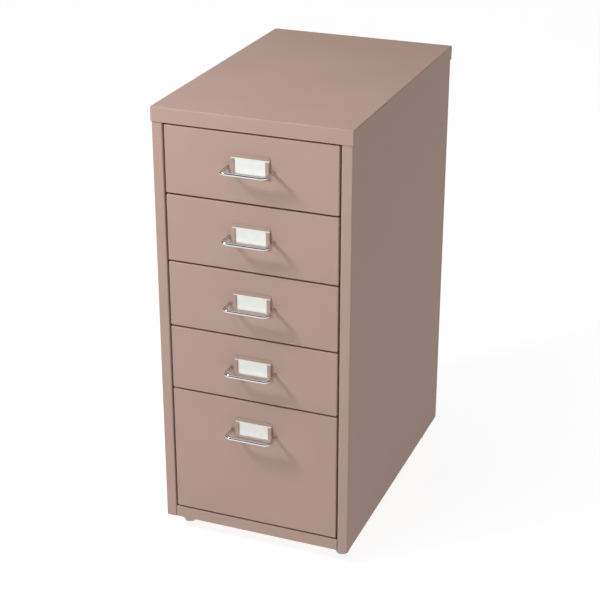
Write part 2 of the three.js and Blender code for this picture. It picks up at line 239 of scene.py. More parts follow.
def card_stock():
    """Matt white card with a faint fibre texture."""
    material, nodes, links, shader = new_material("card_stock")
    place = object_place(nodes)
    fibre = noise(nodes, links, place, 1500.0, detail=6.0, roughness=0.7)
    cloud = noise(nodes, links, place, 90.0, detail=3.0)
    amount = spread(nodes, links, cloud, 0, 1)
    tint = blend_colours(nodes, links, amount, (0.76, 0.77, 0.74), (0.81, 0.82, 0.795))
    links.new(tint, shader.inputs["Base Color"])
    links.new(spread(nodes, links, fibre, 0.82, 0.95), shader.inputs["Roughness"])
    links.new(bump(nodes, links, fibre, 0.00002, 0.3), shader.inputs["Normal"])
    return material


def grey_plastic():
    """Light grey moulded plastic with a fine sparked texture."""
    material, nodes, links, shader = new_material("grey_plastic")
    place = object_place(nodes)
    spark = noise(nodes, links, place, 1800.0, detail=3.0)
    cloud = noise(nodes, links, place, 60.0, detail=3.0)
    amount = spread(nodes, links, cloud, 0, 1)
    tint = blend_colours(nodes, links, amount, (0.44, 0.47, 0.46), (0.49, 0.52, 0.51))
    links.new(tint, shader.inputs["Base Color"])
    links.new(spread(nodes, links, spark, 0.42, 0.58), shader.inputs["Roughness"])
    links.new(bump(nodes, links, spark, 0.00003, 0.35), shader.inputs["Normal"])
    return material


def studio_paper(name, glow):
    """Seamless near-white paper that glows a little, as if lit from below."""
    material, nodes, links, shader = new_material(name)
    place = object_place(nodes)
    cloud = noise(nodes, links, place, 2.0, detail=2.0)
    amount = spread(nodes, links, cloud, 0, 1)
    tint = blend_colours(nodes, links, amount, (0.27, 0.27, 0.27), (0.29, 0.29, 0.29))
    links.new(tint, shader.inputs["Base Color"])
    shader.inputs["Roughness"].default_value = 0.9
    shader.inputs["Emission Color"].default_value = (1.0, 1.0, 1.0, 1.0)
    shader.inputs["Emission Strength"].default_value = glow
    return material


MATERIALS = {
    "body_paint": powder_coat(),
    "pull_chrome": chrome(),
    "zinc_steel": zinc_plate(),
    "card": card_stock(),
    "foot_plastic": grey_plastic(),
}

# ---- mesh helpers -------------------------------------------------------------------------


def make_mesh(name, vertices, faces, sharp_angle=SHARP_ANGLE):
    """A smooth-shaded mesh from points in millimetres. Normals are turned outwards."""
    mesh = bpy.data.meshes.new(name)
    mesh.from_pydata([Vector(v) * MM for v in vertices], [], faces)
    work = bmesh.new()
    work.from_mesh(mesh)
    bmesh.ops.remove_doubles(work, verts=work.verts, dist=1e-7)
    bmesh.ops.recalc_face_normals(work, faces=work.faces)
    work.to_mesh(mesh)
    work.free()
    mesh.polygons.foreach_set("use_smooth", [True] * len(mesh.polygons))
    mesh.set_sharp_from_angle(angle=math.radians(sharp_angle))
    return mesh


def join_meshes(name, meshes):
    """One mesh that holds several."""
    work = bmesh.new()
    for mesh in meshes:
        work.from_mesh(mesh)
    joined = bpy.data.meshes.new(name)
    work.to_mesh(joined)
    work.free()
    for mesh in meshes:
        bpy.data.meshes.remove(mesh)
    return joined


def cut_holes(mesh, tools):
    """The mesh with the tool meshes cut away."""
    holder = bpy.data.objects.new("cut_target", mesh)
    bpy.context.scene.collection.objects.link(holder)
    cutters = []
    for tool in tools:
        cutter = bpy.data.objects.new("cut_tool", tool)
        bpy.context.scene.collection.objects.link(cutter)
        cutters.append(cutter)
        modifier = holder.modifiers.new("cut", "BOOLEAN")
        modifier.operation = "DIFFERENCE"
        modifier.solver = "EXACT"
        modifier.object = cutter
    evaluated = holder.evaluated_get(bpy.context.evaluated_depsgraph_get())
    result = bpy.data.meshes.new_from_object(evaluated)
    result.name = mesh.name
    for extra in [holder, *cutters]:
        data = extra.data
        bpy.data.objects.remove(extra)
        bpy.data.meshes.remove(data)
    result.set_sharp_from_angle(angle=math.radians(SHARP_ANGLE))
    return result


AXIS_ORDER = {
    "x": lambda a, b, t: (t, a, b),
    "y": lambda a, b, t: (a, t, b),
    "z": lambda a, b, t: (a, b, t),
}


def rounded_path(corners, bend, steps=BEND_STEPS):
    """Points and directions along a polyline whose corners are arcs."""
    middle = [Vector(c) for c in corners]
    directions = [(b - a).normalized() for a, b in zip(middle, middle[1:])]
    samples = [(middle[0], directions[0])]
    for corner, before, after in zip(middle[1:-1], directions, directions[1:]):
        turn = math.atan2(before.cross(after), before.dot(after))
        start = corner - before * (bend * math.tan(abs(turn) / 2))
        to_centre = Vector((-before.y, before.x)) * math.copysign(bend, turn)
        for step in range(steps + 1):
            rotation = Matrix.Rotation(turn * step / steps, 2)
            samples.append((start + to_centre - rotation @ to_centre, rotation @ before))
    samples.append((middle[-1], directions[-1]))
    return samples


def bent_sheet(name, corners, axis, low, high, bend=BEND):
    """Sheet bent along a polyline through its middle and run along an axis."""
    to_space = AXIS_ORDER[axis]
    vertices = []
    samples = rounded_path(corners, bend)
    for point, direction in samples:
        normal = Vector((-direction.y, direction.x)) * (SHEET / 2)
        for edge in (point + normal, point - normal):
            vertices += [to_space(edge.x, edge.y, low), to_space(edge.x, edge.y, high)]
    faces = [(0, 1, 3, 2)]
    last = 4 * (len(samples) - 1)
    faces.append((last, last + 1, last + 3, last + 2))
    for i in range(len(samples) - 1):
        a, b = 4 * i, 4 * (i + 1)
        for first, second in ((0, 1), (2, 3), (0, 2), (1, 3)):
            faces.append((a + first, a + second, b + second, b + first))
    return make_mesh(name, vertices, faces)


def plate(name, low, high):
    """A flat plate or block between two corners."""
    corners = [
        (x, y, z) for x in (low[0], high[0]) for y in (low[1], high[1]) for z in (low[2], high[2])
    ]
    faces = [(0, 1, 3, 2), (4, 6, 7, 5), (0, 4, 5, 1), (2, 3, 7, 6), (0, 2, 6, 4), (1, 5, 7, 3)]
    return make_mesh(name, corners, faces)


def outline_plate(name, outline, axis, low, high):
    """A flat outline given thickness along an axis."""
    to_space = AXIS_ORDER[axis]
    count = len(outline)
    vertices = [to_space(a, b, t) for t in (low, high) for a, b in outline]
    faces = [tuple(range(count)), tuple(range(2 * count - 1, count - 1, -1))]
    faces += [(i, (i + 1) % count, count + (i + 1) % count, count + i) for i in range(count)]
    return make_mesh(name, vertices, faces)


def circle(x, y, radius, sides):
    steps = [2 * math.pi * i / sides for i in range(sides)]
    return [(x + radius * math.cos(a), y + radius * math.sin(a)) for a in steps]


def rounded_rectangle(u_range, v_range, inset, corner, steps=6):
    """Points round a rectangle, inset from its edges, with round corners."""
    u0, u1 = u_range[0] + inset, u_range[1] - inset
    v0, v1 = v_range[0] + inset, v_range[1] - inset
    points = []
    for cu, cv, start in ((u1 - corner, v1 - corner, 0), (u0 + corner, v1 - corner, 1),
                          (u0 + corner, v0 + corner, 2), (u1 - corner, v0 + corner, 3)):
        for step in range(steps + 1):
            angle = RIGHT_ANGLE * (start + step / steps)
            points.append((cu + corner * math.cos(angle), cv + corner * math.sin(angle)))
    return points


def loft(name, loops, close_first=True, close_last=True):
    """Skin through closed loops of equal length."""
    count = len(loops[0])
    vertices = [p for points in loops for p in points]
    faces = []
    for k in range(len(loops) - 1):
        a, b = k * count, (k + 1) * count
        faces += [(a + i, a + (i + 1) % count, b + (i + 1) % count, b + i) for i in range(count)]
    if close_first:
        faces.append(tuple(range(count)))
    if close_last:
        faces.append(tuple(range(len(vertices) - 1, len(vertices) - count - 1, -1)))
    return make_mesh(name, vertices, faces)


def folded_pan(name, u_range, v_range, depth, to_space):
    """A pan with a rounded rim: a face, four folded edges, open at the back."""
    arc = [RIGHT_ANGLE * i / BEND_STEPS for i in range(BEND_STEPS + 1)]
    outer, inner = PAN_EDGE, PAN_EDGE - SHEET
    stations = [(outer - outer * math.sin(a), outer - outer * math.cos(a)) for a in arc]
    stations += [(0.0, depth), (SHEET, depth)]
    stations += [(outer - inner * math.sin(a), outer - inner * math.cos(a)) for a in reversed(arc)]
    loops = []
    for inset, w in stations:
        radius = max(PAN_CORNER - inset, SMALLEST_CORNER)
        outline = rounded_rectangle(u_range, v_range, inset, radius)
        loops.append([to_space(u, v, w) for u, v in outline])
    return loft(name, loops)


def turned(name, profile, sides, bend, steps):
    """A round piece about Z from a profile of (radius, height) that starts and ends on the axis.

    The corners of the profile are rounded to the bend radius.
    """
    points = [p for p, _ in rounded_path(profile, bend, steps)]
    rings = [p for p in points if p.x > 1e-6]
    loops = [[(x, y, p.y) for x, y in circle(0, 0, p.x, sides)] for p in rings]
    return loft(name, loops)


# ---- placing pieces -----------------------------------------------------------------------


def soften(piece, width):
    """Small rounds on the cut edges, with flat faces kept flat in shading."""
    bevel = piece.modifiers.new("cut_edges", "BEVEL")
    bevel.width = width * MM
    bevel.segments = 2
    bevel.limit_method = "ANGLE"
    bevel.angle_limit = math.radians(40)
    normals = piece.modifiers.new("flat_faces", "WEIGHTED_NORMAL")
    normals.keep_sharp = True
    normals.weight = 80


def finish_piece(name, mesh, slot, body, nodes=(), edge=CUT_EDGE, place=(0, 0, 0)):
    """Puts a mesh in the scene with its finish, on its body, in place of CAD nodes."""
    piece = bpy.data.objects.new(name, mesh)
    bpy.context.scene.collection.objects.link(piece)
    piece.location = Vector(place) * MM
    if not mesh.materials:
        mesh.materials.append(MATERIALS[slot])
    if edge:
        soften(piece, edge)
    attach(piece, body)
    if nodes:
        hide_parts(*nodes)
    return piece


def stand_for(node, name, mesh, edge=CUT_EDGE, place=(0, 0, 0)):
    """A finished piece that takes the place of one CAD node."""
    return finish_piece(name, mesh, slot_of_node[node], body_of_node[node], (node,), edge, place)


# ---- carcass ------------------------------------------------------------------------------

LIP_LIFT = 0.05             # of the top cap's front lip above the cap's lower edge
FOLD_OVERLAP = 0.05         # how far a side panel's bottom fold runs into its wall
FOLD_RELIEF = 4             # gap at each end of that fold

FOOT_PLACES = [f"{row}_{hand}" for row in ("front", "rear") for hand in ("left", "right")]
FOOT_SOLE_RADIUS = 8.6
FOOT_CHAMFER = 1.5          # height of the chamfer round the sole
FOOT_LOW_RADIUS = 9.5       # above the chamfer
FOOT_HIGH_RADIUS = 10.3     # below the flange
FOOT_FLANGE_RADIUS = 12
FOOT_FLANGE = 2.4           # thickness of the flange
FOOT_NECK = 0.8             # height over which the foot widens into the flange
FOOT_HOLE_RADIUS = 2.6
FOOT_HOLE_DEPTH = 14

FOOT_SCREW = {"head_radius": 4.0, "head_height": 2.3, "shank_radius": 2.0, "shank_length": 14.8}
FOOT_SCREW_GAP = 0.1        # under its head
FOOT_SCREW_FIT = 0.4        # round its shank in the bottom panel
BACK_SCREW = {"head_radius": 3.4, "head_height": 1.7, "shank_radius": 1.6, "shank_length": 6.0}
BACK_SCREW_GAP = 0.05
BACK_SCREW_LOW = 26         # from the lower edge of the back panel
BACK_SCREW_HIGH = 46        # from its upper edge


def make_top_cap():
    """Lid folded down all round, with a lip behind its front edge."""
    low, high = box_mm("top_cap")
    pan = folded_pan(
        "top_cap", (low.x, high.x), (low.y, high.y), high.z - low.z,
        lambda u, v, w: (u, v, high.z - w),
    )
    rail_low, rail_high = box_mm("bottom_front_rail")
    lip_bottom = low.z + LIP_LIFT
    lip = plate(
        "lip",
        (rail_low.x, low.y + SHEET, lip_bottom),
        (rail_high.x, low.y + FOLD, lip_bottom + SHEET),
    )
    stand_for("top_cap", "top_cap_sheet", join_meshes("top_cap", [pan, lip]))


def make_side(hand, side):
    """Wall with a front upright, its return, a rear fold and a bottom fold. side is -1 or 1."""
    node = f"{hand}_side_panel"
    low, high = box_mm(node)
    half = SHEET / 2
    outer = max(abs(low.x), abs(high.x))
    inner = min(abs(low.x), abs(high.x))
    fold_end = outer - FOLD
    wall = outer - half
    folds = bent_sheet(
        node,
        [
            (side * fold_end, high.y - half),
            (side * wall, high.y - half),
            (side * wall, low.y + half),
            (side * (inner + half), low.y + half),
            (side * (inner + half), low.y + FOLD),
        ],
        "z", low.z, high.z,
    )
    ends = sorted((side * fold_end, side * (wall - half + FOLD_OVERLAP)))
    bottom_fold = plate(
        "bottom_fold",
        (ends[0], low.y + FOLD + FOLD_RELIEF, low.z),
        (ends[1], high.y - FOLD_RELIEF, low.z + SHEET),
    )
    stand_for(node, f"{hand}_side_sheet", join_meshes(node, [folds, bottom_fold]))


def make_rail():
    """Channel that opens to the rear."""
    low, high = box_mm("bottom_front_rail")
    half = SHEET / 2
    mesh = bent_sheet(
        "bottom_front_rail",
        [
            (high.y, low.z + half),
            (low.y + half, low.z + half),
            (low.y + half, high.z - half),
            (high.y, high.z - half),
        ],
        "x", low.x, high.x,
    )
    stand_for("bottom_front_rail", "front_rail_sheet", mesh)


def make_back_panel():
    low, high = box_mm("back_panel")
    stand_for("back_panel", "back_sheet", plate("back_panel", low, high))


def make_bottom_panel():
    """The plate has notches round the uprights and a hole for each foot screw."""
    low, high = box_mm("bottom_panel")
    rail_low, rail_high = box_mm("bottom_front_rail")
    notch = rail_high.y + 1
    outline = [
        (rail_low.x, low.y), (rail_high.x, low.y), (rail_high.x, notch), (high.x, notch),
        (high.x, high.y), (low.x, high.y), (low.x, notch), (rail_low.x, notch),
    ]
    mesh = outline_plate("bottom_panel", outline, "z", low.z, high.z)
    tools = []
    for place in FOOT_PLACES:
        screw_low, screw_high = box_mm(f"foot_screw_{place}")
        centre = (screw_low + screw_high) / 2
        hole = circle(centre.x, centre.y, FOOT_SCREW["shank_radius"] + FOOT_SCREW_FIT, 24)
        tools.append(outline_plate("hole", hole, "z", low.z - CUT_OVERRUN, high.z + CUT_OVERRUN))
    stand_for("bottom_panel", "floor_sheet", cut_holes(mesh, tools), edge=0.1)


def foot_mesh(height):
    """Tapered foot with a blind hole for its screw."""
    flange_bottom = height - FOOT_FLANGE
    hole_bottom = height - FOOT_HOLE_DEPTH
    profile = [
        (0, 0), (FOOT_SOLE_RADIUS, 0), (FOOT_LOW_RADIUS, FOOT_CHAMFER),
        (FOOT_HIGH_RADIUS, flange_bottom - FOOT_NECK), (FOOT_FLANGE_RADIUS, flange_bottom),
        (FOOT_FLANGE_RADIUS, height), (FOOT_HOLE_RADIUS, height),
        (FOOT_HOLE_RADIUS, hole_bottom), (0, hole_bottom),
    ]
    return turned("foot", profile, 48, bend=0.5, steps=4)


def screw_mesh(name, head_radius, head_height, shank_radius, shank_length):
    """Pan-head screw, head up, with a cross recess. The seat is at height 0."""
    tip_radius, tip_length = shank_radius * 0.6, 1.4
    crown_radius = head_radius * 0.72
    rim_height = recess_bottom = head_height * 0.35
    recess_reach, recess_half_width = head_radius * 0.52, head_radius * 0.13
    profile = [
        (0, -shank_length), (tip_radius, -shank_length), (shank_radius, -shank_length + tip_length),
        (shank_radius, 0), (head_radius, 0), (head_radius, rim_height),
        (crown_radius, head_height), (0, head_height),
    ]
    body = turned(name, profile, 32, bend=0.25, steps=3)
    tools = [
        plate("slot", (-a, -b, recess_bottom), (a, b, head_height + CUT_OVERRUN))
        for a, b in ((recess_reach, recess_half_width), (recess_half_width, recess_reach))
    ]
    return cut_holes(body, tools)


def make_feet():
    """Four feet, each with its screw from above."""
    low, high = box_mm("foot_front_left")
    foot = foot_mesh(high.z - low.z)
    screw = screw_mesh("foot_screw", **FOOT_SCREW)
    seat = box_mm("bottom_panel")[1].z + FOOT_SCREW_GAP
    for place in FOOT_PLACES:
        low, high = box_mm(f"foot_{place}")
        centre = (low + high) / 2
        stand_for(f"foot_{place}", f"foot_{place}_moulding", foot, 0, (centre.x, centre.y, low.z))
        node = f"foot_screw_{place}"
        stand_for(node, f"{node}_pan_head", screw, 0, (centre.x, centre.y, seat))


def make_back_screws():
    """Screws through the back panel into the rear folds of the sides."""
    low, high = box_mm("back_panel")
    mesh = screw_mesh("back_screw", **BACK_SCREW)
    mesh.transform(Matrix.Rotation(-RIGHT_ANGLE, 4, "X"))
    fold = box_mm("left_side_panel")[0].x + FOLD / 2
    heights = [low.z + BACK_SCREW_LOW, (low.z + high.z) / 2, high.z - BACK_SCREW_HIGH]
    for row, z in zip(("low", "middle", "high"), heights):
        for hand, x in (("left", fold), ("right", -fold)):
            name = f"back_screw_{row}_{hand}"
            place = (x, high.y + BACK_SCREW_GAP, z)
            finish_piece(name, mesh, "zinc_steel", "cabinet", edge=0, place=place)


# ---- runners ------------------------------------------------------------------------------

TAB_THICKNESS = 2           # of a stop tab, along the runner
TAB_WIDTH = 5
TAB_FROM_REAR = 2           # from the tray's rear edge to its stop tab
STOP_CLEARANCE = 0.5
TAB_RISE = 1.8              # height of a tray's stop tab above its rim
STOP_DROP = 2.1             # how far a runner's stop hangs below its upper flange
STOP_INSET = 1              # of the stop from the runner's open side
REAR_TAB_GAP = 0.2          # between the rear tab and the runner's ends


def make_runner(number, hand, side):
    """Channel that opens inwards, with a rear tab and a stop tab under its upper flange."""
    node = f"runner_{number}_{hand}"
    low, high = box_mm(node)
    half = SHEET / 2
    outer = max(abs(low.x), abs(high.x))
    inner = min(abs(low.x), abs(high.x))
    channel = bent_sheet(
        node,
        [
            (side * inner, high.z - half),
            (side * (outer - half), high.z - half),
            (side * (outer - half), low.z + half),
            (side * inner, low.z + half),
        ],
        "y", low.y, high.y,
    )
    across = sorted((side * (inner + REAR_TAB_GAP), side * (outer - SHEET - HAIR)))
    tab_rear = high.y - REAR_TAB_GAP
    rear_tab = plate(
        "rear_tab",
        (across[0], tab_rear - SHEET, low.z + SHEET + HAIR),
        (across[1], tab_rear, high.z - SHEET - HAIR),
    )
    tray_tab_front = box_mm(f"drawer_{number}_tray")[1].y - TAB_FROM_REAR - TAB_THICKNESS
    stop_rear = tray_tab_front - travel_of(number) - STOP_CLEARANCE
    stop_inner = inner + STOP_INSET
    stop_across = sorted((side * stop_inner, side * (stop_inner + TAB_WIDTH)))
    stop = plate(
        "stop",
        (stop_across[0], stop_rear - TAB_THICKNESS, high.z - SHEET - STOP_DROP),
        (stop_across[1], stop_rear, high.z - SHEET - HAIR),
    )
    stand_for(node, f"{node}_channel", join_meshes(node, [channel, rear_tab, stop]))


def travel_of(number):
    """How far a drawer opens."""
    joint = next(j for j in frame["joints"] if j["child"] == f"drawer_{number}")
    return joint["range_m"][1] / MM


# ---- drawers ------------------------------------------------------------------------------

LIP_REACH = 9.8             # rim of a tray, out from its side wall
LIP_DROP = 9                # its turned-down edge
TAB_FROM_WALL = 2.2         # from a tray's side wall to its stop tab
ACCESS_RADIUS = 7.0         # holes in a tray's front wall, behind the nuts
ACCESS_DEPTH = 2.4          # deep enough to pass the wall's hem
END_INSET = 0.2             # of the end walls from the ends of a tray
END_GAP = 0.03              # between them and its floor and sides
END_BELOW_RIM = 1.2
END_FOOT = 9                # fold of an end wall along the tray's floor
HEM_DROP = 6.8              # doubled edge at the top of an end wall
HEM_GAP = 0.25              # between the two sheets of the hem
HEM_FLAT = 0.01             # taken off the hem's bend radius, so that its two bends don't meet
HOLE_GAP = 0.04             # round a pull's leg in the drawer front


def wire_radius(name):
    """Half the thickness of a drawer's pull."""
    low, high = box_mm(f"{name}_pull")
    return (high.z - low.z) / 2


def pull_legs(name):
    """(left x, right x, height) of the two legs of a drawer's pull."""
    low, high = box_mm(f"{name}_pull")
    radius = wire_radius(name)
    return low.x + radius, high.x - radius, (low.z + high.z) / 2


def make_drawer_front(name):
    """Shallow pan, open at the back, with two holes for the pull."""
    low, high = box_mm(f"{name}_front")
    pan = folded_pan(
        f"{name}_front", (low.x, high.x), (low.z, high.z), high.y - low.y,
        lambda u, v, w: (u, low.y + w, v),
    )
    left, right, height = pull_legs(name)
    radius = wire_radius(name) + HOLE_GAP
    through = low.y + SHEET + CUT_OVERRUN
    tools = [
        outline_plate("hole", circle(x, height, radius, 32), "y", low.y - CUT_OVERRUN, through)
        for x in (left, right)
    ]
    stand_for(f"{name}_front", f"{name}_front_panel", cut_holes(pan, tools))


def make_tray(name):
    """Folded trough with turned-down lips, a front wall with access holes and a rear wall."""
    node = f"{name}_tray"
    low, high = box_mm(node)
    half = SHEET / 2
    rim = high.z - TAB_RISE
    lip = high.x - half
    wall = lip - LIP_REACH
    floor = low.z + half
    right_half = [(wall, floor), (wall, rim - half), (lip, rim - half), (lip, rim - LIP_DROP)]
    left_half = [(-x, z) for x, z in reversed(right_half)]
    trough = bent_sheet(node, left_half + right_half, "y", low.y, high.y)
    inside = wall - half - END_GAP
    foot = floor + SHEET + END_GAP
    crest = rim - END_BELOW_RIM
    hem = SHEET + HEM_GAP
    hem_bend = hem / 2 - HEM_FLAT
    ends = []
    for y, facing in ((low.y + half + END_INSET, 1), (high.y - half - END_INSET, -1)):
        profile = [
            (y + facing * END_FOOT, foot),
            (y, foot),
            (y, crest),
            (y + facing * hem, crest),
            (y + facing * hem, crest - HEM_DROP),
        ]
        ends.append(bent_sheet("end_wall", profile, "x", -inside, inside, bend=hem_bend))
    left, right, height = pull_legs(name)
    start, end = low.y - CUT_OVERRUN, low.y + ACCESS_DEPTH
    tools = [
        outline_plate("access", circle(x, height, ACCESS_RADIUS, 32), "y", start, end)
        for x in (left, right)
    ]
    ends[0] = cut_holes(ends[0], tools)
    tabs = []
    for side in (-1, 1):
        tab_inner = wall + half + TAB_FROM_WALL
        across = sorted((side * tab_inner, side * (tab_inner + TAB_WIDTH)))
        tab_rear = high.y - TAB_FROM_REAR
        tabs.append(plate(
            "tab",
            (across[0], tab_rear - TAB_THICKNESS, rim - HAIR),
            (across[1], tab_rear, rim + TAB_RISE),
        ))
    stand_for(node, f"{node}_folded", join_meshes(node, [trough, *ends, *tabs]))


PULL_BEND = 7.5             # bend radius at the middle of the wire
PULL_BEND_STEPS = 14
THREAD_PITCH = 0.8
THREAD_DEPTH = 0.32
CREST_DEPTH = 0.03          # of the thread's crests below the plain wire
THREAD_FROM_SHEET = 0.6     # from the drawer front's sheet to the thread
PLAIN_STEP = 0.3            # rings this far on from the thread keep the wire's shading even
NUT_ACROSS_FLATS = 8.0
NUT_THICKNESS = 4.0
NUT_HOLE = 2.55             # radius
NUT_CHAMFER = 0.45
NUT_HOLE_CHAMFER = 0.3
NUT_FACE_INSET = 0.1        # of the round faces from the flats


def wire_mesh(name, stations, sides=24):
    """A round wire through (point, direction, radius) stations that lie in one level plane."""
    loops = []
    for point, direction, radius in stations:
        across = Vector((-direction.y, direction.x, 0))
        loops.append([
            point + across * (radius * math.cos(a)) + Vector((0, 0, radius * math.sin(a)))
            for a in (2 * math.pi * i / sides for i in range(sides))
        ])
    return loft(name, loops)


def make_pull(name):
    """Bent chrome wire. Its tails behind the drawer front carry a thread."""
    low, high = box_mm(f"{name}_pull")
    radius = wire_radius(name)
    left, right, height = pull_legs(name)
    bar = low.y + radius
    face = box_mm(f"{name}_front")[0].y
    corners = [(left, high.y), (left, bar), (right, bar), (right, high.y)]
    path = rounded_path(corners, PULL_BEND, PULL_BEND_STEPS)
    stations = [(Vector((p.x, p.y, height)), Vector((d.x, d.y, 0)), radius) for p, d in path]
    thread = []
    thread_end = face + SHEET + THREAD_FROM_SHEET
    count = int((high.y - thread_end) / (THREAD_PITCH / 2))
    for i in range(count + 1):
        y = high.y - i * THREAD_PITCH / 2
        thread.append((y, radius - (THREAD_DEPTH if i % 2 == 0 else CREST_DEPTH)))
    plain = (thread_end - PLAIN_STEP, face + SHEET, face + PLAIN_STEP)
    thread += [(y, radius) for y in plain]
    tail_left = [(Vector((left, y, height)), Vector((0, -1, 0)), r) for y, r in thread]
    tail_right = [(Vector((right, y, height)), Vector((0, 1, 0)), r) for y, r in reversed(thread)]
    mesh = wire_mesh(f"{name}_pull", tail_left + stations[1:-1] + tail_right)
    stand_for(f"{name}_pull", f"{name}_pull_wire", mesh, edge=0)


def nut_mesh():
    """Hexagon nut with chamfered corners, lying along Y from 0 to its thickness."""
    sides = 48
    angles = [2 * math.pi * i / sides for i in range(sides)]

    def hexagon(angle):
        return NUT_ACROSS_FLATS / 2 / math.cos((angle % (math.pi / 3)) - math.pi / 6)

    def face(angle):
        return NUT_ACROSS_FLATS / 2 - NUT_FACE_INSET

    def hole(angle):
        return NUT_HOLE

    def hole_mouth(angle):
        return NUT_HOLE + NUT_HOLE_CHAMFER

    stations = [
        (0, face), (NUT_CHAMFER, hexagon), (NUT_THICKNESS - NUT_CHAMFER, hexagon),
        (NUT_THICKNESS, face), (NUT_THICKNESS, hole_mouth),
        (NUT_THICKNESS - NUT_HOLE_CHAMFER, hole), (NUT_HOLE_CHAMFER, hole), (0, hole_mouth),
    ]
    loops = [[(r(a) * math.cos(a), y, r(a) * math.sin(a)) for a in angles] for y, r in stations]
    return loft("pull_nut", loops + loops[:1], close_first=False, close_last=False)


def make_nuts(name, mesh):
    """The two nuts that hold a drawer's pull."""
    for hand in ("left", "right"):
        node = f"{name}_pull_nut_{hand}"
        low, high = box_mm(node)
        centre = (low + high) / 2
        stand_for(node, f"{node}_hex", mesh, 0, (centre.x, low.y, centre.z))


HOLDER_SHEET = 0.6
HOLDER_LIP = 6.0            # width of the side lips
HOLDER_BOTTOM_LIP = 3.5
HOLDER_CORNER = 2.5         # radius of the lower corners
HOLDER_INNER_CORNER = 0.2   # the least radius inside them
HOLDER_EDGE = 0.12          # softening of the holder's cut edges
LIPS_BELOW_TOP = 5.7
CROWN_SHARE = 0.8           # how much of a lip's height rolls over at its outer edge
DROOP_SHARE = 0.25          # and at its inner edge
OUTER_ROLL = 1.8            # width of the two rolls
INNER_ROLL = 1.6
CORNER_STEPS = 5


def make_label_holder(name):
    """Stamped frame with domed lips, open at the top, on a backing plate that stands higher."""
    node = f"{name}_label_holder"
    low, high = box_mm(node)
    backing_outline = rounded_rectangle((low.x, high.x), (low.z, high.z), 0, HOLDER_CORNER)
    backing = outline_plate(node, backing_outline, "y", high.y - HOLDER_SHEET, high.y)
    lips = label_frame(low, high)
    stand_for(node, f"{name}_label_frame", join_meshes(node, [backing, lips]), edge=HOLDER_EDGE)


def label_frame(low, high):
    """U-shaped frame round the card: walls off the plate that roll over into domed lips."""
    back = high.y - HOLDER_SHEET - HAIR
    top = high.z - LIPS_BELOW_TOP
    half = HOLDER_SHEET / 2
    rise = back - (low.y + half)
    crown = CROWN_SHARE * rise
    droop = DROOP_SHARE * rise
    dome = [math.radians(a) for a in range(0, 91, 15)]
    section = [(half, 0.0)]
    section += [
        (half + OUTER_ROLL * (1 - math.cos(a)), rise - crown + crown * math.sin(a)) for a in dome
    ]
    section += [
        (HOLDER_LIP - half - INNER_ROLL * (1 - math.cos(a)), rise - droop + droop * math.sin(a))
        for a in reversed(dome)
    ]
    bottom_share = (HOLDER_BOTTOM_LIP - half) / (HOLDER_LIP - half)
    corner = [RIGHT_ANGLE * i / CORNER_STEPS for i in range(CORNER_STEPS + 1)]
    path = []
    for inset, height in section:
        y = back - height
        radius = max(HOLDER_CORNER - inset, HOLDER_INNER_CORNER)
        left, right = low.x + inset, high.x - inset
        bottom = low.z + half + (inset - half) * bottom_share
        points = [(left, y, top)]
        points += [
            (left + radius * (1 - math.cos(a)), y, bottom + radius * (1 - math.sin(a)))
            for a in corner
        ]
        points += [
            (right - radius * (1 - math.sin(a)), y, bottom + radius * (1 - math.cos(a)))
            for a in corner
        ]
        points.append((right, y, top))
        path.append(points)
    count = len(path[0])
    vertices = [p for row in path for p in row]
    faces = []
    for i in range(len(path) - 1):
        for j in range(count - 1):
            a = count * i + j
            faces.append((a, a + 1, a + count + 1, a + count))
    return thickened(make_mesh("label_frame", vertices, faces, sharp_angle=60.0), HOLDER_SHEET)


def thickened(mesh, thickness):
    """Gives a middle surface its sheet thickness, as one closed skin."""
    holder = bpy.data.objects.new("thicken", mesh)
    bpy.context.scene.collection.objects.link(holder)
    modifier = holder.modifiers.new("sheet", "SOLIDIFY")
    modifier.thickness = thickness * MM
    modifier.offset = 0.0
    modifier.use_even_offset = True
    evaluated = holder.evaluated_get(bpy.context.evaluated_depsgraph_get())
    result = bpy.data.meshes.new_from_object(evaluated)
    bpy.data.objects.remove(holder)
    bpy.data.meshes.remove(mesh)
    return result


CARD_BOW = 0.12             # how far the middle of a card stands forward


def make_card(name):
    """Blank card, slightly bowed in its holder."""
    node = f"{name}_label_card"
    low, high = box_mm(node)
    columns, rows = 16, 8
    vertices, faces = [], []
    thickness = high.y - low.y - CARD_BOW
    for layer in (0, 1):
        for j in range(rows + 1):
            for i in range(columns + 1):
                u, v = i / columns, j / rows
                bow = CARD_BOW * math.sin(math.pi * u)
                y = high.y - bow - layer * thickness
                vertices.append((low.x + u * (high.x - low.x), y, low.z + v * (high.z - low.z)))
    per_layer = (rows + 1) * (columns + 1)
    for layer in (0, 1):
        for j in range(rows):
            for i in range(columns):
                a = layer * per_layer + j * (columns + 1) + i
                faces.append((a, a + 1, a + columns + 2, a + columns + 1))
    rim = list(range(columns))
    rim += [columns + j * (columns + 1) for j in range(rows)]
    rim += [rows * (columns + 1) + i for i in range(columns, 0, -1)]
    rim += [j * (columns + 1) for j in range(rows, 0, -1)]
    for a, b in zip(rim, rim[1:] + rim[:1]):
        faces.append((a, b, b + per_layer, a + per_layer))
    stand_for(node, f"{name}_paper_card", make_mesh(node, vertices, faces), edge=0)


# ---- the whole cabinet --------------------------------------------------------------------

DRAWERS = sorted(body for body in frame["bodies"] if body.startswith("drawer_"))

